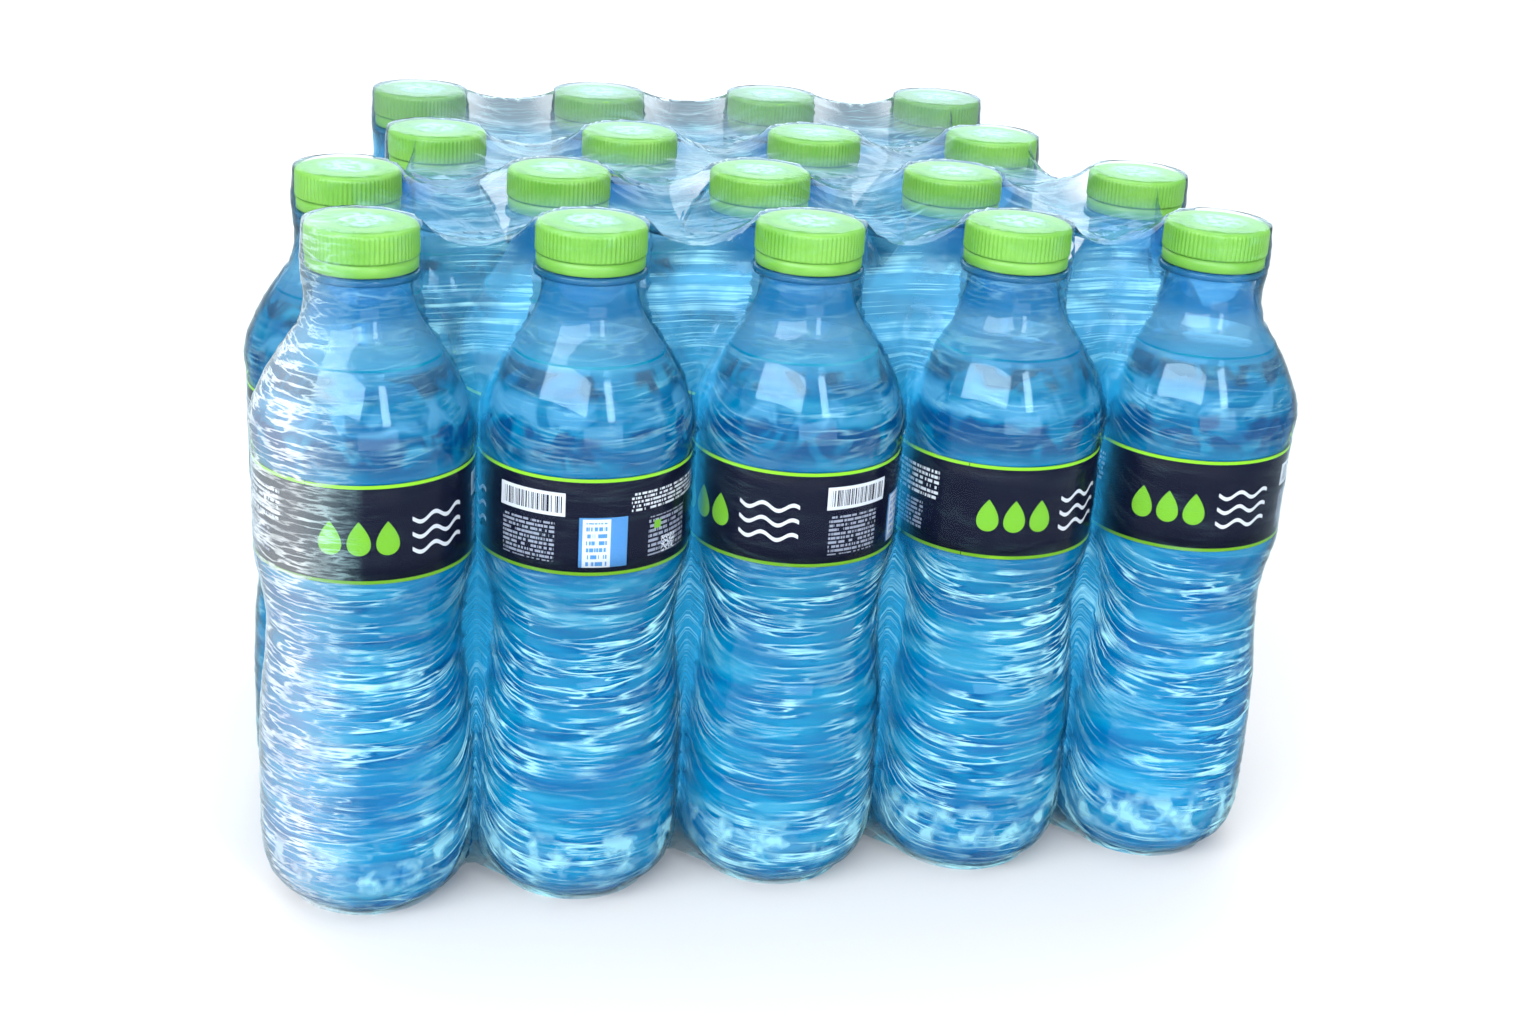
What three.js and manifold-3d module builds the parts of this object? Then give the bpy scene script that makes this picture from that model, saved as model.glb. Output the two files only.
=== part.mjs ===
import * as THREE from 'three';
import { mergeVertices } from 'three/addons/utils/BufferGeometryUtils.js';
import Module from 'manifold-3d';

// A shrink-wrapped case of half-litre water bottles, in millimetres. +Z is up, +X runs along
// the front row, the front faces -Y, and the origin is on the floor under the middle of the case.

// Driving dimensions.
const pitch = 63;            // between the axes of two bottles that touch
const bottlesPerRow = [5, 5, 4, 4];
const capTop = 204;          // top of the closure above the bottle's base
const capRadius = 15.75;
const capHeight = 12;
const gap = 0.3;             // left between separate pieces
const filmThickness = 0.5;
const labelThickness = 0.4;
const sides = 12;            // flats round a bottle, a closure, a label and the film round them
const stepAngle = 2 * Math.PI / sides;

// The bottles stand on the film's doubled floor. The second row stands square behind the first,
// the third nests between the second's bottles, and the fourth stands square behind the third.
const floorTop = filmThickness + gap;
const nestedStep = pitch * Math.sqrt(3) / 2;
const rowDepths = [0, pitch, pitch + nestedStep, 2 * pitch + nestedStep];
const caseDepth = rowDepths[rowDepths.length - 1];
const rows = bottlesPerRow.map((count, row) => Array.from({ length: count }, (_, column) =>
  new THREE.Vector2((column - (count - 1) / 2) * pitch, rowDepths[row] - caseDepth / 2)));

const colours = {
  bottle: { color: 0x6fb7e6, roughness: 0.08, metalness: 0, transparent: true, opacity: 0.55 },
  cap: { color: 0x8fdc5f, roughness: 0.42, metalness: 0 },
  label: { color: 0x11142b, roughness: 0.35, metalness: 0 },
  film: { color: 0xe9f1f8, roughness: 0.15, metalness: 0, transparent: true, opacity: 0.25 },
};

function namedMesh(name, geometry, look) {
  const mesh = new THREE.Mesh(geometry, new THREE.MeshStandardMaterial(look));
  mesh.name = name;
  return mesh;
}

// Turns an outline of [radius, height] pairs about the vertical axis.
function turned(outline) {
  const points = outline.map(([radius, height]) => new THREE.Vector2(radius, height));
  return new THREE.LatheGeometry(points, sides).rotateX(Math.PI / 2);
}

// The bottle with its water, as one solid: rounded foot, ribbed lower body, hand-grip waist,
// recessed band under the label, bulge, domed shoulder, neck and support ring.
const widestRadius = pitch / 2 - gap / 2;
const labelRadius = widestRadius - 0.15;
const labelSeatRadius = labelRadius - labelThickness - gap;
const labelBottom = 110;
const labelTop = 139;
const capBottom = capTop - capHeight;

function bottleGeometry() {
  return turned([
    [0, 0],
    [22, 0],
    [30.2, 9],
    [30.6, 46],
    [27.3, 88],
    [labelSeatRadius, labelBottom - 3],
    [labelSeatRadius, labelTop + 2],
    [widestRadius, labelTop + 8],
    [28.4, 156.6],
    [20.4, 170.5],
    [13.8, 183],
    [16.2, capBottom - 1.5],
    [16.2, capBottom - gap],
    [0, capBottom - gap],
  ]);
}

// The closure: a short screw cap down to the support ring.
function capGeometry() {
  return turned([
    [0, capBottom],
    [capRadius, capBottom],
    [capRadius, capTop],
    [0, capTop],
  ]);
}

// The label: a closed sleeve round the recessed band.
function labelGeometry() {
  const inside = labelRadius - labelThickness;
  return turned([
    [inside, labelBottom],
    [labelRadius, labelBottom],
    [labelRadius, labelTop],
    [inside, labelTop],
    [inside, labelBottom],
  ]);
}

// The film is drawn tight round the case. Going up, each level says how far the film stands
// from the axes of the outer bottles, and how far short of the next bottle it leaves each one
// to bridge the groove between them.
const rimRadius = capRadius + 0.45;
const roofHeight = floorTop + capTop + gap;
const levels = [
  { height: floorTop, radius: 24, leave: 28 },
  { height: 10, radius: 31.4, leave: 28 },
  { height: 48, radius: 31.8, leave: 28 },
  { height: 89, radius: 28.6, leave: 28 },
  { height: 109, radius: 32.35, leave: 28 },
  { height: 152, radius: 32.35, leave: 28 },
  { height: 167, radius: 24.8, leave: 14 },
  { height: 178, radius: 17.9, leave: 0 },
  { height: roofHeight, radius: rimRadius, leave: 0 },
];
const webSag = 1.5;          // how far a web across a groove hangs in
const outerSaddleDrop = 10;  // roof's fall midway between two neighbours round the edge
const backSaddleDrop = 3;    // the same along the back row, where the film lies straighter
const innerSaddleDrop = 4;   // and midway between two further in
const squareDip = 9;         // roof's fall amid four closures
const triangleDip = 6;       // and amid three

const [first, second, third, fourth] = rows;
const last = (row) => row[row.length - 1];
const outerBottles = [...first, last(second), last(third), ...[...fourth].reverse(),
  third[0], second[0]];

function directionTo(from, to) {
  return Math.atan2(to.y - from.y, to.x - from.x);
}

// One level's outline, counter-clockwise from above: an arc round each outer bottle, and a
// point midway along the web to the next. The key says which rim or saddle of the roof each
// point becomes on the top level.
function outlineAt({ height, radius, leave }) {
  const short = THREE.MathUtils.degToRad(leave);
  const points = [];
  outerBottles.forEach((bottle, index) => {
    const before = outerBottles.at(index - 1);
    const after = outerBottles[(index + 1) % outerBottles.length];
    const start = directionTo(bottle, before);
    const span = THREE.MathUtils.euclideanModulo(directionTo(bottle, after) - start, 2 * Math.PI);
    const steps = Math.round(span / stepAngle);
    for (let step = 0; step <= steps; step += 1) {
      const angle = start + short + (span - 2 * short) * step / steps;
      points.push({
        key: rimKey(bottle, start + step * stepAngle),
        at: new THREE.Vector3(
          bottle.x + radius * Math.cos(angle), bottle.y + radius * Math.sin(angle), height),
      });
    }
    const along = after.clone().sub(bottle).normalize();
    const out = radius * Math.sin(short) - (leave > 0 ? webSag : 0);
    const alongBack = Math.min(bottle.y, after.y) === fourth[0].y;
    const saddleDrop = alongBack ? backSaddleDrop : outerSaddleDrop;
    const drop = height === roofHeight ? saddleDrop : 0;
    points.push({
      key: saddleKey(bottle, after),
      at: new THREE.Vector3(
        (bottle.x + after.x) / 2 + along.y * out, (bottle.y + after.y) / 2 - along.x * out,
        height - drop),
    });
  });
  return points;
}

// Moves an outline outwards by the given distance, square to its edges.
function movedOut(points, distance) {
  return points.map(({ key, at }, index) => {
    const before = points.at(index - 1).at;
    const after = points[(index + 1) % points.length].at;
    const edgeIn = new THREE.Vector2(at.x - before.x, at.y - before.y).normalize();
    const edgeOut = new THREE.Vector2(after.x - at.x, after.y - at.y).normalize();
    const normal = new THREE.Vector2(edgeIn.y + edgeOut.y, -edgeIn.x - edgeOut.x).normalize();
    const mitre = distance / (normal.x * edgeIn.y - normal.y * edgeIn.x);
    return { key, at: new THREE.Vector3(at.x + normal.x * mitre, at.y + normal.y * mitre, at.z) };
  });
}

function placeKey(point) {
  return `${Math.round(point.x)},${Math.round(point.y)}`;
}

function rimKey(bottle, angle) {
  const side = THREE.MathUtils.euclideanModulo(Math.round(angle / stepAngle), sides);
  return `rim ${placeKey(bottle)} ${side}`;
}

function saddleKey(bottle, other) {
  return `saddle ${[placeKey(bottle), placeKey(other)].sort().join(' ')}`;
}

// The roof's cells: a square amid four bottles, or a triangle amid three, counter-clockwise.
function roofCells() {
  const square = (front, back, column) =>
    [front[column], front[column + 1], back[column + 1], back[column]];
  const cells = [];
  for (let column = 0; column < first.length - 1; column += 1) {
    cells.push(square(first, second, column));
    cells.push([second[column], second[column + 1], third[column]]);
  }
  for (let column = 0; column < third.length - 1; column += 1) {
    cells.push([second[column + 1], third[column + 1], third[column]]);
    cells.push(square(third, fourth, column));
  }
  return cells;
}

// A closed body of everything inside one face of the film, from the given height up: walls, and
// a roof that is flat over each closure and dips between them.
function insideFilm(thickness, bottom) {
  const places = [];
  const triangles = [];
  const roofPoints = new Map();

  const outlines = levels.map((level, index) => {
    const outline = movedOut(outlineAt(level), thickness);
    const onRoof = index === levels.length - 1;
    return outline.map(({ key, at }) => {
      const height = index === 0 ? bottom : at.z + (onRoof ? thickness : 0);
      places.push(new THREE.Vector3(at.x, at.y, height));
      if (onRoof) roofPoints.set(key, places.length - 1);
      return places.length - 1;
    });
  });

  for (let level = 1; level < outlines.length; level += 1) {
    const [lower, upper] = [outlines[level - 1], outlines[level]];
    lower.forEach((start, index) => {
      const next = (index + 1) % lower.length;
      triangles.push([start, lower[next], upper[next]], [start, upper[next], upper[index]]);
    });
  }

  const floor = outlines[0];
  const floorOutline = floor.map((index) => new THREE.Vector2(places[index].x, places[index].y));
  for (const [a, b, c] of THREE.ShapeUtils.triangulateShape(floorOutline, [])) {
    triangles.push([floor[a], floor[c], floor[b]]);
  }

  const roofPoint = (key, x, y, drop) => {
    if (!roofPoints.has(key)) {
      places.push(new THREE.Vector3(x, y, roofHeight + thickness - drop));
      roofPoints.set(key, places.length - 1);
    }
    return roofPoints.get(key);
  };
  const rimPoint = (bottle, angle) => roofPoint(rimKey(bottle, angle),
    bottle.x + rimRadius * Math.cos(angle), bottle.y + rimRadius * Math.sin(angle), 0);
  const fan = (centre, ring) => ring.forEach((start, index) =>
    triangles.push([centre, start, ring[(index + 1) % ring.length]]));

  for (const bottle of rows.flat()) {
    const ring = Array.from({ length: sides }, (_, side) => rimPoint(bottle, side * stepAngle));
    fan(roofPoint(`top ${placeKey(bottle)}`, bottle.x, bottle.y, 0), ring);
  }
  for (const cell of roofCells()) {
    const ring = [];
    const middle = new THREE.Vector2();
    cell.forEach((bottle, index) => {
      const before = cell.at(index - 1);
      const after = cell[(index + 1) % cell.length];
      const start = directionTo(bottle, before);
      const span = THREE.MathUtils.euclideanModulo(start - directionTo(bottle, after), 2 * Math.PI);
      const steps = Math.round(span / stepAngle);
      for (let step = 0; step <= steps; step += 1) {
        ring.push(rimPoint(bottle, start - step * stepAngle));
      }
      ring.push(roofPoint(saddleKey(bottle, after),
        (bottle.x + after.x) / 2, (bottle.y + after.y) / 2, innerSaddleDrop));
      middle.addScaledVector(bottle, 1 / cell.length);
    });
    const dip = cell.length === 4 ? squareDip : triangleDip;
    fan(roofPoint(`dip ${placeKey(middle)}`, middle.x, middle.y, dip), ring);
  }

  const geometry = new THREE.BufferGeometry().setFromPoints(places);
  geometry.setIndex(triangles.flat());
  return geometry;
}

const wasm = await Module();
wasm.setup();

function toSolid(geometry) {
  const bare = geometry.clone();
  bare.deleteAttribute('normal');
  bare.deleteAttribute('uv');
  const welded = mergeVertices(bare, 1e-4);
  return new wasm.Manifold(new wasm.Mesh({
    numProp: 3,
    vertProperties: Float32Array.from(welded.attributes.position.array),
    triVerts: Uint32Array.from(welded.index.array),
  }));
}

function toGeometry(solid) {
  const mesh = solid.getMesh();
  const geometry = new THREE.BufferGeometry();
  geometry.setAttribute('position', new THREE.BufferAttribute(mesh.vertProperties, 3));
  geometry.setIndex(new THREE.BufferAttribute(mesh.triVerts, 1));
  return geometry;
}

// The film is a sleeve, open below where its edges lap over the floor sheet. Its two open ends
// shrink to an oval hole at both ends of the case, over the groove behind the first row.
const endHole = { width: 28, height: 70, centreHeight: 92, sides: 12 };

function filmGeometry() {
  const reach = 4 * pitch;
  const hole = new THREE.CylinderGeometry(1, 1, 2 * reach, endHole.sides)
    .rotateZ(Math.PI / 2)
    .scale(1, endHole.width / 2, endHole.height / 2)
    .translate(0, (first[0].y + second[0].y) / 2, endHole.centreHeight);
  const outer = toSolid(insideFilm(filmThickness, floorTop));
  const inner = toSolid(insideFilm(0, 0));
  return toGeometry(outer.subtract(inner).subtract(toSolid(hole)));
}

// The lapped part of the film under the bottles, a flat sheet on the floor.
function filmFloorGeometry() {
  const outline = movedOut(outlineAt(levels[0]), filmThickness);
  const shape = new THREE.Shape(outline.map(({ at }) => new THREE.Vector2(at.x, at.y)));
  return new THREE.ExtrudeGeometry(shape, { depth: filmThickness, bevelEnabled: false });
}

const bottleCase = new THREE.Group();
rows.forEach((row, rowIndex) => row.forEach((axis, columnIndex) => {
  const place = `r${rowIndex + 1}_c${columnIndex + 1}`;
  const bottle = new THREE.Group();
  bottle.position.set(axis.x, axis.y, floorTop);
  bottle.add(namedMesh(`bottle_${place}`, bottleGeometry(), colours.bottle));
  bottle.add(namedMesh(`cap_${place}`, capGeometry(), colours.cap));
  bottle.add(namedMesh(`label_${place}`, labelGeometry(), colours.label));
  bottleCase.add(bottle);
}));
bottleCase.add(namedMesh('film', filmGeometry(), colours.film));
bottleCase.add(namedMesh('film_floor', filmFloorGeometry(), colours.film));

export default bottleCase;
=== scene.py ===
import math

import bpy
import numpy as np
from mathutils import Matrix, Vector
from mathutils.geometry import delaunay_2d_cdt


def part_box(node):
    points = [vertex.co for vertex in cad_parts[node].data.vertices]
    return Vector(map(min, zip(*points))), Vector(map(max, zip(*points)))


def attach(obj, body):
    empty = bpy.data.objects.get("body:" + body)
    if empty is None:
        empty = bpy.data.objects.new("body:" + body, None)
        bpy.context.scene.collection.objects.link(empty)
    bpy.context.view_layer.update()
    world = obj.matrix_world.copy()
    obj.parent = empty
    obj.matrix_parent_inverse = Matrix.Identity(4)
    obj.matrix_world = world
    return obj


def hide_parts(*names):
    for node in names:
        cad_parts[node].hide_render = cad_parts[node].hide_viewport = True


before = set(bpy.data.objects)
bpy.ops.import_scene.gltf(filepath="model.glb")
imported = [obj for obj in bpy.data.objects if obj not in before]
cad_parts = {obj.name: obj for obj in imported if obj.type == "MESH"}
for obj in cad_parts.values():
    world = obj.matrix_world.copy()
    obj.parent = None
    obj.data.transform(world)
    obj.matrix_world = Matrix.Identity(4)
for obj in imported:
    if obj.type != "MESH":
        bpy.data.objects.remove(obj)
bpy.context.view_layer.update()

# The camera stands before the left end of the case, looks down on it, and leans a little to
# the left. Its values are in pixels of a picture 1536 wide and 1024 high.
picture_width, picture_height = 1536, 1024
focal_pixels = 2190
picture_middle = Vector((788, 526))
camera_place = Vector((-0.162, -0.680, 0.358))
camera_yaw = math.radians(-15.3)
camera_tilt = math.radians(68.0)
camera_roll = math.radians(3.9)

camera = bpy.data.objects.new("camera", bpy.data.cameras.new("camera"))
bpy.context.scene.collection.objects.link(camera)
camera.data.sensor_width = 36
camera.data.lens = focal_pixels / picture_width * camera.data.sensor_width
camera.data.shift_x = (picture_width / 2 - picture_middle.x) / picture_width
camera.data.shift_y = (picture_middle.y - picture_height / 2) / picture_width
camera.data.clip_start = 0.01
turn = (Matrix.Rotation(camera_yaw, 4, "Z") @ Matrix.Rotation(camera_tilt, 4, "X")
        @ Matrix.Rotation(camera_roll, 4, "Z"))
camera.matrix_world = Matrix.Translation(camera_place) @ turn
bpy.context.scene.camera = camera

# The studio: a pale floor, a room that is brighter overhead than at the sides, and soft boxes
# that put window-like lights on the shoulders of the bottles. The last lights the far floor, so
# that it is as pale as the near one.
floor_reach = 6.0
overhead_light = 1.0
sideways_light = 0.82

floor = bpy.data.objects.new("floor", bpy.data.meshes.new("floor"))
floor.data.from_pydata(
    [(-floor_reach, -floor_reach, 0), (floor_reach, -floor_reach, 0),
     (floor_reach, floor_reach, 0), (-floor_reach, floor_reach, 0)], [], [(0, 1, 2, 3)])
bpy.context.scene.collection.objects.link(floor)

pale_floor = bpy.data.materials.new("pale_floor")
pale_floor.use_nodes = True
floor_paint = pale_floor.node_tree.nodes["Principled BSDF"]
floor_paint.inputs["Base Color"].default_value = (0.66, 0.66, 0.665, 1)
floor_paint.inputs["Roughness"].default_value = 0.85
floor_paint.inputs["Specular IOR Level"].default_value = 0.1
floor.data.materials.append(pale_floor)

room = bpy.data.worlds.new("room")
room.use_nodes = True
backdrop = room.node_tree.nodes["Background"]
backdrop.inputs["Color"].default_value = (0.95, 0.97, 1.0, 1)
ways = room.node_tree.nodes.new("ShaderNodeTexCoord")
way_parts = room.node_tree.nodes.new("ShaderNodeSeparateXYZ")
lighting = room.node_tree.nodes.new("ShaderNodeMapRange")
lighting.inputs["To Min"].default_value = sideways_light
lighting.inputs["To Max"].default_value = overhead_light
room.node_tree.links.new(ways.outputs["Generated"], way_parts.inputs[0])
room.node_tree.links.new(way_parts.outputs["Z"], lighting.inputs["Value"])
room.node_tree.links.new(lighting.outputs[0], backdrop.inputs["Strength"])
bpy.context.scene.world = room
bpy.context.scene.view_settings.view_transform = "Standard"
# A few bounces are enough for the layers of film, wall and water.
bpy.context.scene.cycles.max_bounces = 4
bpy.context.scene.cycles.diffuse_bounces = 2
bpy.context.scene.cycles.glossy_bounces = 2
bpy.context.scene.cycles.transmission_bounces = 4
bpy.context.scene.cycles.transparent_max_bounces = 14


def soft_box(name, place, aim, width, height, watts):
    lamp = bpy.data.lights.new(name, "AREA")
    lamp.shape = "RECTANGLE"
    lamp.size = width
    lamp.size_y = height
    lamp.energy = watts
    box = bpy.data.objects.new(name, lamp)
    bpy.context.scene.collection.objects.link(box)
    box.location = place
    box.rotation_euler = (Vector(aim) - Vector(place)).to_track_quat("-Z", "Y").to_euler()


case_middle = (0, 0, 0.12)
soft_box("key_box", (-1.0, -1.2, 1.35), case_middle, 1.9, 0.6, 36)
soft_box("strip_box", (0.45, -1.5, 1.1), case_middle, 0.25, 0.6, 6)
soft_box("fill_box", (0.3, -2.2, 0.55), case_middle, 1.6, 0.8, 13)
soft_box("top_box", (0.1, 0.6, 1.8), case_middle, 1.4, 1.0, 9)
soft_box("rim_box", (0.2, 1.7, 0.75), case_middle, 3.2, 1.1, 16)
soft_box("far_floor_box", (0.4, 3.4, 2.2), (0.4, 3.4, 0), 6.0, 2.5, 70)

# The bottles: blown clear PET with a blue tint, which is thicker and darker at the neck, with
# painted shade in the near-navy of the ring under the closure. Each has a rounded foot with shallow
# flutes, a soft ribbed lower body, a grip waist, a recessed band under the label, a bulge, a domed
# shoulder, a short neck and a ring under the closure.
mm = 0.001
# The outline: height and radius, in millimetres.
bottle_outline = [
    (0, 21.5), (1.0, 23.6), (4, 26.4), (8, 28.9), (13, 30.4), (20, 30.7), (46, 30.6), (62, 29.8),
    (75, 28.2), (88, 27.3), (98, 28.5), (106, 30.3), (109, 30.5), (139, 30.5), (142, 30.6),
    (147, 31.3), (151.7, 30.3), (156.6, 28.4), (161.5, 26), (166.5, 23.1), (171.5, 19.6),
    (176.5, 16.3), (181, 14.4), (184, 13.8), (189, 13.8)]
outline_smoothing = 1.6
shell_top = 188.5
neck_radius = 13.8
ring_low, ring_high, ring_radius = 189.6, 191.4, 16.1
neck_top = 191.6
foot_push_up = 6.0
foot_hollow = 0.55
flute_count = 10
flute_depth = 0.9
flute_middle, flute_reach, flute_top = 5, 5, 16
rib_pitch = 9.5
rib_depth = 1.0
rib_wander = 2.6
ribs_from, ribs_to, ribs_fade = 15, 101, 7
crumple_depth = 0.22
bottle_columns = 72
bottle_row_step = 1.5


def smooth_step(value, low, high):
    share = np.clip((value - low) / (high - low), 0, 1)
    return share * share * (3 - 2 * share)


def outline_radius(height):
    """Radius of the plain bottle, in millimetres, at a height above its base."""
    spread = np.linspace(-outline_smoothing, outline_smoothing, 7)
    known_heights, known_radii = zip(*bottle_outline)
    samples = np.interp(np.asarray(height)[..., None] + spread, known_heights, known_radii)
    return samples.mean(axis=-1)


def wandering(dice, angle, height, stretch, waves=5):
    """A smooth random field round a bottle, about -1 to 1, the same at 0 and 360 degrees."""
    field = np.zeros(np.broadcast(angle, height).shape)
    for _ in range(waves):
        turns = dice.integers(1, 5)
        tall = dice.uniform(0.5, 1.5) / stretch
        field += np.sin(turns * angle + 2 * np.pi * tall * height + dice.uniform(0, 2 * np.pi))
    return field / math.sqrt(waves)


def body_radius(dice, angle, height):
    """Radius in millimetres with this bottle's own ribs and foot flutes."""
    radius = outline_radius(height)
    phase = height + rib_wander * wandering(dice, angle, height, 60)
    strength = 0.6 + 0.4 * wandering(dice, angle, height, 35)
    rib = np.abs(np.sin(np.pi * phase / rib_pitch)) ** 0.7 - 0.6
    ribbed = smooth_step(height, ribs_from, ribs_from + ribs_fade)
    ribbed = ribbed * (1 - smooth_step(height, ribs_to - ribs_fade, ribs_to))
    crumple = crumple_depth * wandering(dice, angle, height, 14, 9)
    flute = np.cos(flute_count * angle) * np.exp(-((height - flute_middle) / flute_reach) ** 2)
    fluted = flute_depth * (1 - flute) / 2 * (height < flute_top)
    return radius + ribbed * (rib_depth * strength * rib + crumple) - fluted


def bottle_rings(seed, inset, top):
    """Rings of points up a bottle, from the middle of its foot to the given height."""
    dice = np.random.default_rng(seed)
    heights = np.concatenate([
        [0, 0, 0.4, 1.2, 2.4], np.arange(4, top, bottle_row_step), [top]])
    angle = np.linspace(0, 2 * np.pi, bottle_columns, endpoint=False)
    grid_angle, grid_height = np.meshgrid(angle, heights)
    radius = body_radius(dice, grid_angle, grid_height) - inset
    radius[0] *= foot_hollow
    rise = np.maximum(grid_height, inset)
    rise[0] = foot_push_up * 0.7
    return radius, rise, grid_angle


def turned_mesh(name, radius, rise, angle, foot_rise, top_rise, axis):
    """A closed mesh of rings about an upright axis, with a point at its foot and its top."""
    rows, columns = radius.shape
    x = axis[0] + radius * np.cos(angle) * mm
    y = axis[1] + radius * np.sin(angle) * mm
    z = axis[2] + rise * mm
    places = np.stack([x, y, z], axis=-1).reshape(-1, 3)
    ends = [[axis[0], axis[1], axis[2] + height * mm] for height in (foot_rise, top_rise)]
    index = np.arange(rows * columns).reshape(rows, columns)
    beside = np.roll(index, -1, axis=1)
    walls = np.stack([index[:-1], beside[:-1], beside[1:], index[1:]], axis=-1).reshape(-1, 4)
    foot = [(rows * columns, b, a) for a, b in zip(index[0], beside[0])]
    head = [(rows * columns + 1, a, b) for a, b in zip(index[-1], beside[-1])]
    mesh = bpy.data.meshes.new(name)
    mesh.from_pydata(np.vstack([places, ends]).tolist(), [], walls.tolist() + foot + head)
    mesh.shade_smooth()
    return mesh


def add_piece(name, mesh, material, node):
    """A piece of the case that stands for that CAD node."""
    piece = bpy.data.objects.new(name, mesh)
    bpy.context.scene.collection.objects.link(piece)
    mesh.materials.append(material)
    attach(piece, "root")
    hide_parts(node)
    return piece


def link_or_set(tree, socket, value):
    if isinstance(value, bpy.types.NodeSocket):
        tree.links.new(value, socket)
    else:
        socket.default_value = value


def node_of(tree, kind, **sockets):
    """A shader node. Each socket goes by its name, or by s and its place: s0, s1."""
    node = tree.nodes.new(kind)
    for key, value in sockets.items():
        by_place = key[0] == "s" and key[1:].isdigit()
        link_or_set(tree, node.inputs[int(key[1:]) if by_place else key.replace("_", " ")], value)
    return node


def remap(tree, value, low, high, to_low=0.0, to_high=1.0):
    """The value's share of the way from low to high, as a value from to_low to to_high."""
    share = node_of(tree, "ShaderNodeMapRange", Value=value, From_Min=low, From_Max=high,
                    To_Min=to_low, To_Max=to_high)
    return share.outputs[0]


def graded(tree, value, *stops):
    """A colour that follows a value. Each stop is a value and a colour, or a grey."""
    ramp = node_of(tree, "ShaderNodeValToRGB", Fac=value)
    points = ramp.color_ramp.elements
    points[0].position, points[1].position = stops[0][0], stops[-1][0]
    for position, _ in stops[1:-1]:
        points.new(position)
    for point, (_, tone) in zip(points, stops):
        point.color = (*tone, 1) if isinstance(tone, tuple) else (tone, tone, tone, 1)
    return ramp.outputs[0]


def new_material(name):
    material = bpy.data.materials.new(name)
    material.use_nodes = True
    material.node_tree.nodes.clear()
    return material, material.node_tree


def finish_material(tree, surface):
    out = tree.nodes.new("ShaderNodeOutputMaterial")
    tree.links.new(surface, out.inputs["Surface"])


clear_pet, tree = new_material("clear_pet")
place = node_of(tree, "ShaderNodeTexCoord").outputs["Object"]
above_floor = node_of(tree, "ShaderNodeSeparateXYZ", Vector=place).outputs["Z"]
neck_share = remap(tree, above_floor, 0.165, 0.193)
# The tint deepens towards the neck, where the wall is thicker; its near-navy at the ring under the
# closure and above is painted shade for the dark that the ring shows by refraction.
passing = node_of(tree, "ShaderNodeBsdfTransparent", Color=graded(
    tree, neck_share, (0, (0.60, 0.85, 0.97)), (0.4, (0.45, 0.74, 0.92)), (0.6, (0.24, 0.52, 0.76)),
    (0.88, (0.24, 0.52, 0.76)), (0.92, (0.05, 0.15, 0.30)), (1, (0.05, 0.15, 0.30))))
# The wall thickens from the shoulder to the neck, so its own blue shows there.
thick_blue = node_of(tree, "ShaderNodeBsdfDiffuse", Color=graded(
    tree, neck_share, (0.42, (0.30, 0.68, 0.90)), (0.6, (0.04, 0.34, 0.70))))
thickness = remap(tree, above_floor, 0.160, 0.180, 0.0, 0.26)
wall = node_of(tree, "ShaderNodeMixShader", s0=thickness, s1=passing.outputs[0],
               s2=thick_blue.outputs[0])
gloss = node_of(tree, "ShaderNodeBsdfGlossy", Color=(0.85, 0.95, 1.0, 1), Roughness=0.04)
glancing = node_of(tree, "ShaderNodeFresnel", IOR=1.32)
pet = node_of(tree, "ShaderNodeMixShader", s0=glancing.outputs[0], s1=wall.outputs[0],
              s2=gloss.outputs[0])
finish_material(tree, pet.outputs[0])

bottles = sorted(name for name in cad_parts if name.startswith("bottle_"))
axes = {}
for number, node in enumerate(bottles):
    low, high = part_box(node)
    key = node.removeprefix("bottle_")
    axes[key] = Vector(((low[0] + high[0]) / 2, (low[1] + high[1]) / 2, low[2]))
    radius, rise, angle = bottle_rings(number, 0, shell_top)
    ring = np.array([[ring_low - 0.7, neck_radius], [ring_low, neck_radius + 0.1],
                     [ring_low + 0.2, ring_radius], [ring_high, ring_radius],
                     [neck_top, ring_radius - 0.4]])
    wide = np.ones(bottle_columns)
    radius = np.vstack([radius, np.outer(ring[:, 1], wide)])
    rise = np.vstack([rise, np.outer(ring[:, 0], wide)])
    angle = np.vstack([angle, np.tile(angle[0], (len(ring), 1))])
    shell = turned_mesh(f"{node}_shell", radius, rise, angle, foot_push_up, neck_top, axes[key])
    add_piece(f"{node}_shell", shell, clear_pet, node).visible_shadow = False

# The water: still and clear, it fills each bottle to a level in the shoulder and reaches just
# into the wall. What the bottle bends from behind it into blue bands, dark and bright, is painted
# into the water's colour as painted shade and painted highlights.
water_level = 168
wall_reach = 0.15
meniscus = 0.5


def calculate(tree, operation, first, second=0.0):
    node = tree.nodes.new("ShaderNodeMath")
    node.operation = operation
    link_or_set(tree, node.inputs[0], first)
    link_or_set(tree, node.inputs[1], second)
    return node.outputs[0]


def blend(tree, share, first, second, way="MIX"):
    """The first colour with that share of the second."""
    mix = tree.nodes.new("ShaderNodeMix")
    mix.data_type = "RGBA"
    mix.blend_type = way
    link_or_set(tree, mix.inputs["Factor"], share)
    link_or_set(tree, mix.inputs[6], first)
    link_or_set(tree, mix.inputs[7], second)
    return mix.outputs[2]


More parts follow.
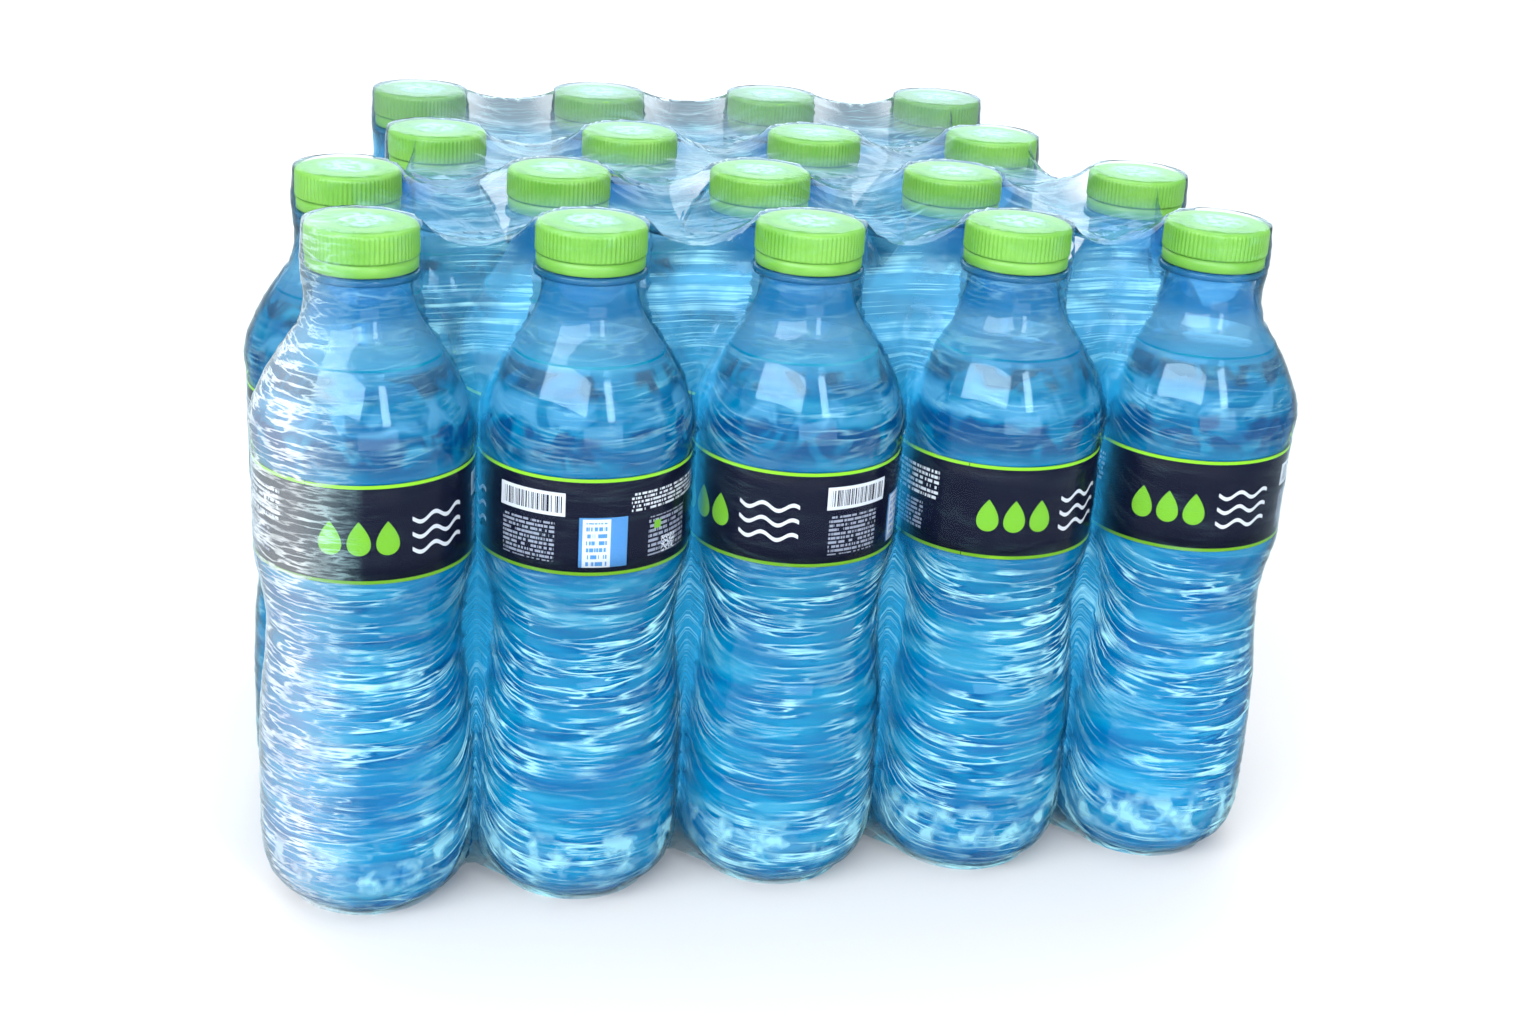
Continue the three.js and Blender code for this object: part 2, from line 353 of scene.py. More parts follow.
azure_water, tree = new_material("azure_water")
place = node_of(tree, "ShaderNodeTexCoord").outputs["Object"]
above_floor = node_of(tree, "ShaderNodeSeparateXYZ", Vector=place).outputs["Z"]
# Painted shade: the water's colour is painted brighter low down and darker towards the top.
azure = graded(tree, remap(tree, above_floor, 0.0, 0.170),
               (0, (0.001, 0.64, 0.92)), (1, (0.001, 0.42, 0.64)))
# Painted refraction: noise bands darken the colour as painted shade, and the brighter bands, stronger
# low down, are painted highlights.
flattened = node_of(tree, "ShaderNodeMapping", Vector=place, Scale=(26, 26, 150))
bands = node_of(tree, "ShaderNodeTexNoise", Vector=flattened.outputs[0], Scale=1.0,
                Detail=3.0).outputs["Fac"]
painted_dark_bands = graded(tree, bands, (0.36, (0.1, 0.55, 0.75)), (0.62, 1))
shaded = blend(tree, 1.0, azure, painted_dark_bands, "MULTIPLY")
low_down = remap(tree, above_floor, 0.045, 0.0, 0.35, 1.0)
painted_bright_bands = calculate(tree, "MULTIPLY", remap(tree, bands, 0.55, 0.75), low_down)
colour = blend(tree, painted_bright_bands, shaded, (0.45, 0.9, 1.0, 1))
# Painted light and shade for what the shoulder and the foot gather like lenses: dark label colours
# in the bulge as painted shade with a painted bright broken band above them, a painted dark line
# under the water's surface, painted shade at the very bottom of the foot, and painted light just
# over the foot.
swirl = node_of(tree, "ShaderNodeTexNoise", Vector=place, Scale=75.0, Detail=2.0,
                Distortion=1.2).outputs["Fac"]
swirled_height = calculate(tree, "SUBTRACT", above_floor, calculate(tree, "MULTIPLY", swirl, 0.010))
lens = graded(tree, remap(tree, swirled_height, 0.0, 0.170),
              (0, 0.38), (0.02, 0.36), (0.035, 0.85), (0.08, 0.9), (0.10, 0.5), (0.79, 0.5),
              (0.82, 0.18), (0.86, 0.15), (0.875, 0.85), (0.895, 0.9), (0.92, 0.5), (1, 0.5))
painted_lens_shade = remap(tree, lens, 0.5, 0.15)
painted_lens_light = remap(tree, lens, 0.5, 0.9)
painted_shade_under_surface = graded(tree, remap(tree, above_floor, 0.150, 0.170),
                       (0, 0), (0.5, 0), (0.62, 1), (0.84, 1), (0.88, 0), (1, 0))
here_and_there = remap(tree, swirl, 0.42, 0.55)
for painted_mark, tone in ((painted_lens_shade, (0.002, 0.13, 0.34, 1)), (painted_lens_light, (0.22, 0.62, 0.86, 1)),
                       (painted_shade_under_surface, (0.01, 0.10, 0.22, 1))):
    colour = blend(tree, calculate(tree, "MULTIPLY", painted_mark, here_and_there), colour, tone)
water = node_of(tree, "ShaderNodeBsdfPrincipled", IOR=1.333, Roughness=0.02,
                Transmission_Weight=0.5, Base_Color=colour)
finish_material(tree, water.outputs[0])

for number, node in enumerate(bottles):
    key = node.removeprefix("bottle_")
    radius, rise, angle = bottle_rings(number, wall_reach, water_level)
    # The water climbs a little where it meets the wall.
    rise[-1] = water_level + meniscus
    body = turned_mesh(f"water_{key}", radius, rise, angle, foot_push_up + wall_reach, water_level,
                       axes[key])
    add_piece(f"water_{key}", body, azure_water, node)

# The closures: moulded lime green plastic, with fine gripping ribs on the skirt, a smooth tamper
# band under a thin slit, a rounded shoulder and faint moulded rings on the flat top.
grip_ribs = 72
points_per_rib = 6
rib_groove = 0.3
slit_height = 3.6
top_relief = 0.22
cap_low, cap_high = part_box("cap_r1_c1")
cap_radius = (cap_high[0] - cap_low[0]) / 2 / mm
cap_height = (cap_high[2] - cap_low[2]) / mm
# How far each closure is screwed on past the one before it.
cap_turn_step = 1.7
# Each ring of the outline: height, how far inside the widest radius, and its share of ribs.
cap_outline = [
    (0.0, 1.2, 0), (0.0, 0.6, 0), (0.25, 0.35, 0), (slit_height - 0.3, 0.35, 0),
    (slit_height - 0.1, 0.9, 0), (slit_height + 0.15, 0.9, 0), (slit_height + 0.3, 0.1, 0),
    (slit_height + 0.7, 0.0, 1), (7.0, 0.02, 1), (cap_height - 1.5, 0.06, 1),
    (cap_height - 0.95, 0.2, 0.5), (cap_height - 0.45, 0.55, 0), (cap_height - 0.15, 1.05, 0),
    (cap_height - 0.02, 1.7, 0), (cap_height - 0.02, 3.0, 0), (cap_height - top_relief, 3.3, 0),
    (cap_height - top_relief, 7.6, 0), (cap_height - 0.02, 7.8, 0), (cap_height - 0.02, 8.6, 0),
    (cap_height - top_relief, 8.8, 0), (cap_height - top_relief, 12.5, 0)]

lime_plastic, tree = new_material("lime_plastic")
place = node_of(tree, "ShaderNodeTexCoord").outputs["Object"]
mottle = node_of(tree, "ShaderNodeTexNoise", Vector=place, Scale=90.0, Detail=3.0)
limes = graded(tree, mottle.outputs["Fac"], (0.3, (0.13, 0.38, 0.035)), (0.7, (0.19, 0.46, 0.06)))
grain = node_of(tree, "ShaderNodeTexNoise", Vector=place, Scale=1400.0)
matt = node_of(tree, "ShaderNodeBump", Strength=0.12, Distance=0.0002, Height=grain.outputs["Fac"])
lime = node_of(tree, "ShaderNodeBsdfPrincipled", Base_Color=limes, Roughness=0.36,
               Normal=matt.outputs[0])
finish_material(tree, lime.outputs[0])

cap_columns = grip_ribs * points_per_rib
cap_angle = np.linspace(0, 2 * np.pi, cap_columns, endpoint=False)
rib_wave = 0.5 + 0.5 * np.cos(grip_ribs * cap_angle)
cap_heights, cap_insets, cap_ribs = (np.array(column)[:, None] for column in zip(*cap_outline))
cap_rings = cap_radius - cap_insets - rib_groove * cap_ribs * rib_wave
cap_rises = cap_heights + 0 * cap_angle
cap_mesh = turned_mesh("closure", cap_rings, cap_rises, cap_angle + 0 * cap_rises, 0,
                       cap_height - top_relief, (0, 0, 0))
cap_mesh.materials.append(lime_plastic)
for number, node in enumerate(bottles):
    key = node.removeprefix("bottle_")
    piece = bpy.data.objects.new(f"closure_{key}", cap_mesh)
    bpy.context.scene.collection.objects.link(piece)
    piece.location = (axes[key].x, axes[key].y, cap_low[2])
    piece.rotation_euler.z = number * cap_turn_step
    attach(piece, "root")
    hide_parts(f"cap_{key}")

# The labels: printed plastic sleeves in the bottles' recessed bands, near-black navy with a
# lime line along both edges and generic fields of print, turned a different way on each bottle.
label_low, label_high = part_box("label_r1_c1")
label_radius = (label_high[0] - label_low[0]) / 2 / mm
label_height = (label_high[2] - label_low[2]) / mm
label_length = 2 * np.pi * label_radius
label_thickness = 0.3
label_play, label_waves = 0.1, 0.07
label_columns = 96


class Print:
    """Flat shapes on the label's sheet, in millimetres from its left end and its lower edge."""

    def __init__(self, tree, ground):
        self.tree = tree
        sheet = node_of(tree, "ShaderNodeUVMap")
        parts = node_of(tree, "ShaderNodeSeparateXYZ", Vector=sheet.outputs[0])
        self.across = calculate(tree, "MULTIPLY", parts.outputs["X"], label_length)
        self.up = calculate(tree, "MULTIPLY", parts.outputs["Y"], label_height)
        self.colour = (*ground, 1)

    def maths(self, operation, first, second=0.0):
        return calculate(self.tree, operation, first, second)

    def ink(self, mask, colour):
        self.colour = blend(self.tree, mask, self.colour, (*colour, 1))

    def block(self, left, low, width, height):
        aside = self.maths("SUBTRACT", self.across, left + width / 2)
        aside = self.maths("SUBTRACT", self.maths("ABSOLUTE", aside), width / 2)
        above = self.maths("SUBTRACT", self.up, low + height / 2)
        above = self.maths("SUBTRACT", self.maths("ABSOLUTE", above), height / 2)
        return self.maths("LESS_THAN", self.maths("MAXIMUM", aside, above), 0)

    def within(self, mask, pattern):
        return self.maths("MULTIPLY", mask, pattern)

    def stripes(self, across_scale, up_scale, share):
        """Streaks that are long where the scale is small, covering about that share."""
        spot = node_of(self.tree, "ShaderNodeCombineXYZ",
                       X=self.maths("MULTIPLY", self.across, across_scale),
                       Y=self.maths("MULTIPLY", self.up, up_scale))
        noise = node_of(self.tree, "ShaderNodeTexNoise", Vector=spot.outputs[0], Scale=1.0, Detail=1.0)
        return self.maths("GREATER_THAN", noise.outputs["Fac"], 1 - share)

    def small_print(self, line_height):
        """Rows of short dashes."""
        row = self.maths("DIVIDE", self.up, line_height)
        inside_row = self.maths("GREATER_THAN", self.maths("FRACT", row), 0.42)
        spot = node_of(self.tree, "ShaderNodeCombineXYZ",
                       X=self.maths("MULTIPLY", self.across, 1.4),
                       Y=self.maths("MULTIPLY", self.maths("FLOOR", row), 7.3))
        noise = node_of(self.tree, "ShaderNodeTexNoise", Vector=spot.outputs[0], Scale=1.0)
        return self.within(inside_row, self.maths("GREATER_THAN", noise.outputs["Fac"], 0.46))

    def wave(self, left, width, middle, swing, length, thick):
        """A wavy ribbon."""
        turns = self.maths("MULTIPLY", self.across, 2 * math.pi / length)
        line = self.maths("MULTIPLY", self.maths("SINE", turns), swing)
        off = self.maths("SUBTRACT", self.up, self.maths("ADD", line, middle))
        ribbon = self.maths("LESS_THAN", self.maths("ABSOLUTE", off), thick / 2)
        return self.within(ribbon, self.block(left, 0, width, label_height))

    def drop(self, middle, low, size):
        """A water drop: a disc below that narrows to a point above."""
        aside = self.maths("SUBTRACT", self.across, middle)
        above = self.maths("DIVIDE", self.maths("SUBTRACT", self.up, low), size)
        to_tip = self.maths("MAXIMUM", self.maths("SUBTRACT", 1.0, above), 0.0)
        width = self.maths("POWER", self.maths("MAXIMUM", above, 0.0), 0.5)
        width = self.maths("MULTIPLY", width, to_tip)
        width = self.maths("MULTIPLY", width, size * 0.85)
        return self.maths("LESS_THAN", self.maths("ABSOLUTE", aside), width)


navy = (0.004, 0.005, 0.018)
lime_ink = (0.17, 0.44, 0.03)
line_ink = (0.26, 0.60, 0.03)
white_ink = (0.62, 0.65, 0.70)
grey_ink = (0.30, 0.33, 0.42)
sky_ink = (0.08, 0.26, 0.55)
edge_line = 1.0

label_print, tree = new_material("label_print")
sheet = Print(tree, navy)
# Three drops stand beside three thin waves.
for middle in (8, 16, 24):
    sheet.ink(sheet.drop(middle, 8.5, 10), lime_ink)
for middle in (9, 13.5, 18):
    sheet.ink(sheet.wave(31, 18, middle, 1.0, 9, 1.2), white_ink)
sheet.ink(sheet.block(57, 17.5, 21, 7), white_ink)
sheet.ink(sheet.within(sheet.block(58, 18.5, 19, 5), sheet.stripes(2.2, 0.0, 0.5)), navy)
sheet.ink(sheet.within(sheet.block(58, 3.5, 17, 12), sheet.small_print(1.3)), grey_ink)
sheet.ink(sheet.block(82, 2.5, 14, 15), sky_ink)
sheet.ink(sheet.block(83, 2.5, 8, 14.5), white_ink)
sheet.ink(sheet.within(sheet.block(84, 3, 6, 13), sheet.small_print(2.1)), sky_ink)
sheet.ink(sheet.within(sheet.block(97, 18.5, 30, 6), sheet.small_print(1.2)), white_ink)
sheet.ink(sheet.within(sheet.block(103, 4, 16, 12), sheet.small_print(1.5)), grey_ink)
sheet.ink(sheet.block(105, 12, 2.5, 2.5), lime_ink)
sheet.ink(sheet.within(sheet.block(108, 4, 6, 5), sheet.stripes(1.5, 1.5, 0.5)), white_ink)
sheet.ink(sheet.within(sheet.block(134, 5, 24, 19), sheet.small_print(1.3)), grey_ink)
sheet.ink(sheet.within(sheet.block(166, 15, 22, 9), sheet.small_print(1.6)), white_ink)
sheet.ink(sheet.within(sheet.block(168, 4, 15, 9), sheet.small_print(1.3)), grey_ink)
for low in (0, label_height - edge_line):
    sheet.ink(sheet.block(-1, low, label_length + 2, edge_line), line_ink)
ripple = node_of(tree, "ShaderNodeTexNoise", Scale=60.0)
crease = node_of(tree, "ShaderNodeBump", Strength=0.25, Distance=0.0006, Height=ripple.outputs["Fac"])
sleeve = node_of(tree, "ShaderNodeBsdfPrincipled", Base_Color=sheet.colour, Roughness=0.3,
                 Specular_IOR_Level=0.06, Normal=crease.outputs[0])
finish_material(tree, sleeve.outputs[0])

# How far round each front bottle's label is turned, as the share of its length that faces the
# front. The others follow at uneven steps. The front is three quarters of a turn round from +X.
front_facing = [0.10, 0.45, 0.28, 0.10, 0.17]
label_turn_step = 0.37
front_of_turn = 0.75

for number, node in enumerate(bottles):
    key = node.removeprefix("bottle_")
    dice = np.random.default_rng(100 + number)
    angle = np.linspace(0, 2 * np.pi, label_columns, endpoint=False)
    # From the inner lower edge, up the outside, to the inner upper edge.
    inset = np.array([label_thickness, 0, 0, 0, 0, 0, label_thickness])[:, None]
    up = np.array([0, 0, 0.25, 0.5, 0.75, 1, 1])
    loose = label_waves * wandering(dice, angle[None, :], up[:, None] * label_height, 30)
    radius = label_radius - inset - label_play + loose
    x = axes[key].x + radius * np.cos(angle) * mm
    y = axes[key].y + radius * np.sin(angle) * mm
    z = label_low[2] + up[:, None] * label_height * mm + 0 * x
    index = np.arange(x.size).reshape(x.shape)
    beside = np.roll(index, -1, axis=1)
    next_row, beside_next_row = np.roll(index, -1, axis=0), np.roll(beside, -1, axis=0)
    faces = np.stack([index, beside, beside_next_row, next_row], axis=-1)
    mesh = bpy.data.meshes.new(f"sleeve_{key}")
    mesh.from_pydata(np.stack([x, y, z], axis=-1).reshape(-1, 3).tolist(), [],
                     faces.reshape(-1, 4).tolist())
    facing = front_facing[number] if number < len(front_facing) else number * label_turn_step
    u_left = (angle / (2 * np.pi) - front_of_turn + facing) % 1.0
    u_right = u_left + 1 / label_columns
    u = np.tile(np.stack([u_left, u_right, u_right, u_left], axis=-1), (len(up), 1, 1))
    v_low, v_high = up, np.roll(up, -1)
    v = np.stack([v_low, v_low, v_high, v_high], axis=-1)[:, None, :] + 0 * u
    sheet_uv = mesh.uv_layers.new(name="sheet")
    sheet_uv.data.foreach_set("uv", np.stack([u, v], axis=-1).astype(np.float32).ravel())
    mesh.shade_smooth()
    add_piece(f"sleeve_{key}", mesh, label_print, f"label_{key}")

# The shrink film: one clear polyethylene sleeve, shrunk tight with heat. It hugs the outer
# bottles, bridges the grooves between them with creased webs, lies flat over the closures, sags
# between them, and shrinks to a thick-edged oval hole at both ends of the case.
cap_top_height = (cap_high[2] - axes["r1_c1"].z) / mm
film_clearance = 0.3
film_foot = -0.6
roof_rise = cap_top_height + 0.45
rim_radius = cap_radius + 0.35
# Where the film leaves the shoulder for the rim of the closure.
shoulder_leave = 174
# How far the film's foot is drawn in, and up to what height.
foot_tuck, tuck_height = 3.2, 5
lower_body_radius = dict(bottle_outline)[46]
arc_step = math.radians(6)
# The webs across the grooves: how far they sink in, more so below, and how far they stop short.
web_steps = 6
web_sag = 2.5
foot_sag, foot_sag_top = 8, 32
web_angle = math.radians(16)
# How far the film is drawn in between the shoulder and the closure, at this height.
neck_hug, neck_height, neck_reach = 2.0, 182, 8
# How far the roof's edge droops between two closures, and how much less it does at the back.
front_drop, back_drop = 8.5, 2.5
film_row_step = 1.4
# The height on the lower body where lengths along the film are measured.
run_height = 48
# How far the creases climb towards a groove, and how near to it they start to.
crease_climb, climb_reach = 16, 8
groove_reach = 5
roof_step = 2.2

grid = {}
for key, axis in axes.items():
    row, column = int(key[1]), int(key[4])
    grid[row, column] = axis
row_ends = {row: max(column for r, column in grid if r == row) for row in (1, 2, 3, 4)}
round_the_case = [grid[1, column] for column in range(1, row_ends[1] + 1)]
round_the_case += [grid[2, row_ends[2]], grid[3, row_ends[3]]]
round_the_case += [grid[4, column] for column in range(row_ends[4], 0, -1)]
round_the_case += [grid[3, 1], grid[2, 1]]


def film_radius(height):
    """How far the film stands from an outer bottle's axis, in millimetres."""
    tight = outline_radius(np.clip(height, 3, None)) + rib_depth * 0.4 + film_clearance
    tight = tight - foot_tuck * (1 - smooth_step(height, 0, tuck_height))
    low = outline_radius(np.array(shoulder_leave)) + 0.8
    taut = low + (rim_radius - low) * (height - shoulder_leave) / (roof_rise - shoulder_leave)
    taut = taut - neck_hug * np.exp(-((height - neck_height) / neck_reach) ** 2)
    return np.where(height > shoulder_leave, taut, np.maximum(tight, rim_radius))


def left_short(height):
    """How far short of its neighbour the film leaves each bottle, as an angle."""
    return web_angle * (1 - smooth_step(height, 150, 178))


def creases(dice, along, across, length, width, waves=7):
    """Sharp random folds, 0 to 1, longer one way than the other."""
    field = 0
    for _ in range(waves):
        field = field + np.sin(
            2 * np.pi * (along * dice.uniform(0.3, 1.2) / length * dice.choice([-1, 1])
                         + across * dice.uniform(0.6, 1.4) / width) + dice.uniform(0, 2 * np.pi))
    return 1 - np.minimum(np.abs(field) / math.sqrt(waves) * 1.6, 1)


def direction_to(start, end):
    return math.atan2(end.y - start.y, end.x - start.x)


film_dice = np.random.default_rng(7)
height = np.linspace(film_foot, roof_rise, int((roof_rise - film_foot) / film_row_step))
radius = film_radius(height) * mm
short = left_short(height)
# One entry for each upright line of the wall: x, y, height, slackness, climb, outward direction.
upright_lines = []
for number, bottle in enumerate(round_the_case):
    before = round_the_case[number - 1]
    after = round_the_case[(number + 1) % len(round_the_case)]
    start = direction_to(bottle, before)
    span = (direction_to(bottle, after) - start) % (2 * math.pi)
    for share in np.linspace(0, 1, round(span / arc_step) + 1):
        angle = start + short + (span - 2 * short) * share
        from_groove = min(share, 1 - share) * span * lower_body_radius
        upright_lines.append((
            bottle.x + radius * np.cos(angle), bottle.y + radius * np.sin(angle), height,
            math.exp(-from_groove / groove_reach) + 0 * height,
            crease_climb * math.exp(-from_groove / climb_reach) + 0 * height,
            np.cos(angle), np.sin(angle)))
    leave = start + span - short
    arrive = direction_to(after, bottle) + short
    x0, y0 = bottle.x + radius * np.cos(leave), bottle.y + radius * np.sin(leave)
    x1, y1 = after.x + radius * np.cos(arrive), after.y + radius * np.sin(arrive)
    along = (after - bottle).normalized()
    deepest = back_drop if min(bottle.y, after.y) > grid[3, 1].y else front_drop
    for share in np.linspace(0, 1, web_steps + 2)[1:-1]:
        hollow = 1 - abs(2 * share - 1)
        sag = (web_sag + foot_sag * (1 - smooth_step(height, 0, foot_sag_top))) * hollow * mm
        fall = deepest * (4 * share * (1 - share)) ** 0.8
        fall = fall * smooth_step(height, shoulder_leave, roof_rise)
        upright_lines.append((
            x0 + (x1 - x0) * share - along.y * sag, y0 + (y1 - y0) * share + along.x * sag,
            height - fall, 1 + 0 * height, crease_climb * (1 + 0.25 * hollow) + 0 * height,
            along.y + 0 * height, -along.x + 0 * height))

wall_x, wall_y, wall_z, slack, climb, out_x, out_y = (
    np.array(column).T for column in zip(*upright_lines))
wall_rows, wall_columns = wall_x.shape
run_row = np.abs(height - run_height).argmin()
run_x = np.diff(wall_x[run_row], append=wall_x[run_row, 0])
run_y = np.diff(wall_y[run_row], append=wall_y[run_row, 0])
wall_run = np.cumsum(np.hypot(run_x, run_y)) / mm + 0 * wall_x
crease_height = wall_z - climb * (1 - smooth_step(wall_z, 140, 172))
folds = creases(film_dice, wall_run, crease_height, 110, 10) ** 2
fine_folds = creases(film_dice, wall_run, crease_height, 40, 5) ** 2
push = (0.25 + 0.8 * slack) * folds + (0.1 + 0.3 * slack) * fine_folds
push = push * smooth_step(wall_z, 0, 8) * mm
push[-1] = 0
wall_x += out_x * push
wall_y += out_y * push

# The roof hangs from the closures like a stretched net with a light load, so its heights are
# relaxed on a square grid with the flat tops and the edge held.
edge = np.stack([wall_x[-1], wall_y[-1]], axis=-1) / mm
edge_rise = wall_z[-1]
roof_x = np.arange(edge[:, 0].min() - roof_step, edge[:, 0].max() + 2 * roof_step, roof_step)
roof_y = np.arange(edge[:, 1].min() - roof_step, edge[:, 1].max() + 2 * roof_step, roof_step)
grid_x, grid_y = np.meshgrid(roof_x, roof_y)


def inside_edge(x, y):
    crossings = np.zeros(x.shape, int)
    for (x0, y0), (x1, y1) in zip(edge, np.roll(edge, -1, axis=0)):
        crosses = (y0 > y) != (y1 > y)
        if crosses.any():
            crossings += crosses & (x < x0 + (x1 - x0) * (y - y0) / (y1 - y0))
    return crossings % 2 == 1


to_edge = np.hypot(grid_x[..., None] - edge[:, 0], grid_y[..., None] - edge[:, 1])
edge_gap = to_edge.min(axis=-1)
on_roof = inside_edge(grid_x, grid_y) & (edge_gap > roof_step * 0.55)
cap_gap = np.min([np.hypot(grid_x - axis.x / mm, grid_y - axis.y / mm) for axis in axes.values()],
                 axis=0) - rim_radius
roof_load = 0.034
relax_rounds = 900
starting_sag = 3
roof_z = np.where(on_roof, roof_rise - starting_sag, edge_rise[to_edge.argmin(axis=-1)])
held = ~on_roof | (cap_gap < 0)
roof_z = np.where(on_roof & (cap_gap < 0), roof_rise, roof_z)
for _ in range(relax_rounds):
    around = (np.roll(roof_z, 1, 0) + np.roll(roof_z, -1, 0)
              + np.roll(roof_z, 1, 1) + np.roll(roof_z, -1, 1)) / 4
    roof_z = np.where(held, roof_z, around - roof_load * roof_step ** 2 / 4)
loose = smooth_step(cap_gap, 0, 9) * smooth_step(edge_gap, 0, 6)
long_folds = creases(film_dice, grid_x, grid_y, 90, 8) ** 2
cross_folds = creases(film_dice, grid_y, grid_x, 60, 12) ** 2
crumple = creases(film_dice, grid_x, grid_y, 9, 7) ** 2
roof_z = roof_z + loose * (1.2 * long_folds + 0.4 * cross_folds) + 0.1 * crumple * (edge_gap > 2)

bottle_foot = axes["r1_c1"].z
places = np.stack([wall_x, wall_y, bottle_foot + wall_z * mm], axis=-1).reshape(-1, 3)
index = np.arange(wall_rows * wall_columns).reshape(wall_rows, wall_columns)
beside = np.roll(index, -1, axis=1)
walls = np.stack([index[:-1], beside[:-1], beside[1:], index[1:]], axis=-1).reshape(-1, 4)

# The hole at each end: what lies inside its oval is cut, and the points next to the cut move out
# along the film to the oval's edge, where the film shrank to a thick bead.
hole_width, hole_height, hole_middle = 28, 70, 92
bead_radius = 0.9
bead_sides, bead_steps = 8, 64
hole_y = (axes["r1_c1"].y + axes["r2_c1"].y) / 2
hole_z = bottle_foot + hole_middle * mm
at_ends = np.abs(places[:, 0]) > abs(axes["r1_c1"].x)
oval = np.hypot((places[:, 1] - hole_y) / (hole_width / 2 * mm),
                (places[:, 2] - hole_z) / (hole_height / 2 * mm))
in_hole = at_ends & (oval < 1)
cut_edge = {}
for spot in np.flatnonzero(in_hole):
    row, column = divmod(int(spot), wall_columns)
    nearby = [(row + up) * wall_columns + (column + aside) % wall_columns
              for up in (-1, 0, 1) for aside in (-1, 0, 1)]
    outside = [other for other in nearby if not in_hole[other]]
    if outside:
        cuts = [places[spot] + (places[other] - places[spot]) * (1 - oval[spot])
                / (oval[other] - oval[spot]) for other in outside]
        cut_edge[spot] = np.mean(cuts, axis=0)
for spot, place in cut_edge.items():
    places[spot] = place
walls = walls[~in_hole[walls].all(axis=1)]

beads, bead_faces = [], []
around_bead = np.linspace(0, 2 * np.pi, bead_sides, endpoint=False)
turns_of_bead = np.linspace(-np.pi, np.pi, bead_steps, endpoint=False)
for side in (-1, 1):
    rim = np.array([place for place in cut_edge.values() if place[0] * side > 0])
    turn_of = np.arctan2((rim[:, 2] - hole_z) / hole_height, (rim[:, 1] - hole_y) / hole_width)
    order = np.argsort(turn_of)
    bead_x = np.interp(turns_of_bead, turn_of[order], rim[order, 0], period=2 * np.pi)
    base = len(places) + len(beads)
    for turn, x in zip(turns_of_bead, bead_x):
        for way in around_bead:
            reach = 1 + bead_radius * math.cos(way) / (hole_width / 2)
            beads.append((x + side * bead_radius * math.sin(way) * mm,
                          hole_y + hole_width / 2 * math.cos(turn) * reach * mm,
                          hole_z + (hole_height / 2 * math.sin(turn)
                                    + bead_radius * math.cos(way) * math.sin(turn)) * mm))
    loop = base + np.arange(bead_steps * bead_sides).reshape(bead_steps, bead_sides)
    ahead, aside = np.roll(loop, -1, axis=0), np.roll(loop, -1, axis=1)
    quads = np.stack([loop, ahead, np.roll(ahead, -1, axis=1), aside], axis=-1).reshape(-1, 4)
    bead_faces += (quads if side > 0 else quads[:, ::-1]).tolist()

inner_x, inner_y, inner_z = grid_x[on_roof], grid_y[on_roof], roof_z[on_roof]
flat = [Vector(point) for point in np.vstack([edge, np.stack([inner_x, inner_y], axis=-1)])]
edge_loop = [(i, (i + 1) % wall_columns) for i in range(wall_columns)]
found, _, roof_faces, origins, _, _ = delaunay_2d_cdt(flat, edge_loop, [], 1, 1e-5)
place_of = {}
roof_places = []
first_roof_place = len(places) + len(beads)
for new, old in enumerate(origins):
    if old[0] < wall_columns:
        place_of[new] = (wall_rows - 1) * wall_columns + old[0]
    else:
        place_of[new] = first_roof_place + len(roof_places)
        rise = inner_z[old[0] - wall_columns]
        roof_places.append((found[new].x * mm, found[new].y * mm, bottle_foot + rise * mm))
roof_faces = [[place_of[corner] for corner in face] for face in roof_faces]

film_mesh = bpy.data.meshes.new("film_sleeve")
film_mesh.from_pydata(places.tolist() + beads + roof_places, [],
                      walls.tolist() + bead_faces + roof_faces)
# The film's own sheet: along its stretch, and across it in the height that its creases follow.
roof_sheet_start = 400
bead_sheet = np.zeros(len(beads))
sheet_u = np.concatenate([wall_run.ravel(), bead_sheet, np.array(roof_places)[:, 0] / mm])
sheet_v = np.concatenate([crease_height.ravel(), bead_sheet,
                          np.array(roof_places)[:, 1] / mm + roof_sheet_start])
corner = np.zeros(len(film_mesh.loops), np.int32)
film_mesh.loops.foreach_get("vertex_index", corner)
stretch = film_mesh.uv_layers.new(name="stretch")
stretch.data.foreach_set(
    "uv", np.stack([sheet_u[corner], sheet_v[corner]], axis=-1).astype(np.float32).ravel() * mm)
all_places = np.array(places.tolist() + beads + roof_places)
from_cap = np.min([np.hypot(all_places[:, 0] - axis.x, all_places[:, 1] - axis.y)
                   for axis in axes.values()], axis=0) / mm - rim_radius
marks = {
    "in_groove": np.concatenate([slack.ravel(), bead_sheet + 1, np.zeros(len(roof_places))]),
    "on_cap": (1 - smooth_step(from_cap, 2, 15)) * smooth_step(all_places[:, 2] / mm, 189, 192),
    "cap_middle": 1 - smooth_step(from_cap, -12, -6)}
for name, share in marks.items():
    mark = film_mesh.attributes.new(name, "FLOAT", "POINT")
    mark.data.foreach_set("value", share.astype(np.float32))
film_mesh.shade_smooth()

clear_film, film_tree = new_material("clear_film")
stretched = node_of(film_tree, "ShaderNodeUVMap").outputs[0]
place = node_of(film_tree, "ShaderNodeTexCoord").outputs["Object"]
from_left, from_front, above_floor = node_of(film_tree, "ShaderNodeSeparateXYZ", Vector=place).outputs


def marked(name):
    """How much a point of the film is marked as lying there, from 0 to 1."""
    node = film_tree.nodes.new("ShaderNodeAttribute")
    node.attribute_name = name
    return node.outputs["Fac"]


def ramped(value, low, high, to_low=0.0, to_high=1.0):
    return remap(film_tree, value, low, high, to_low, to_high)


def times(first, second):
    return calculate(film_tree, "MULTIPLY", first, second)


def most(first, second):
    return calculate(film_tree, "MAXIMUM", first, second)


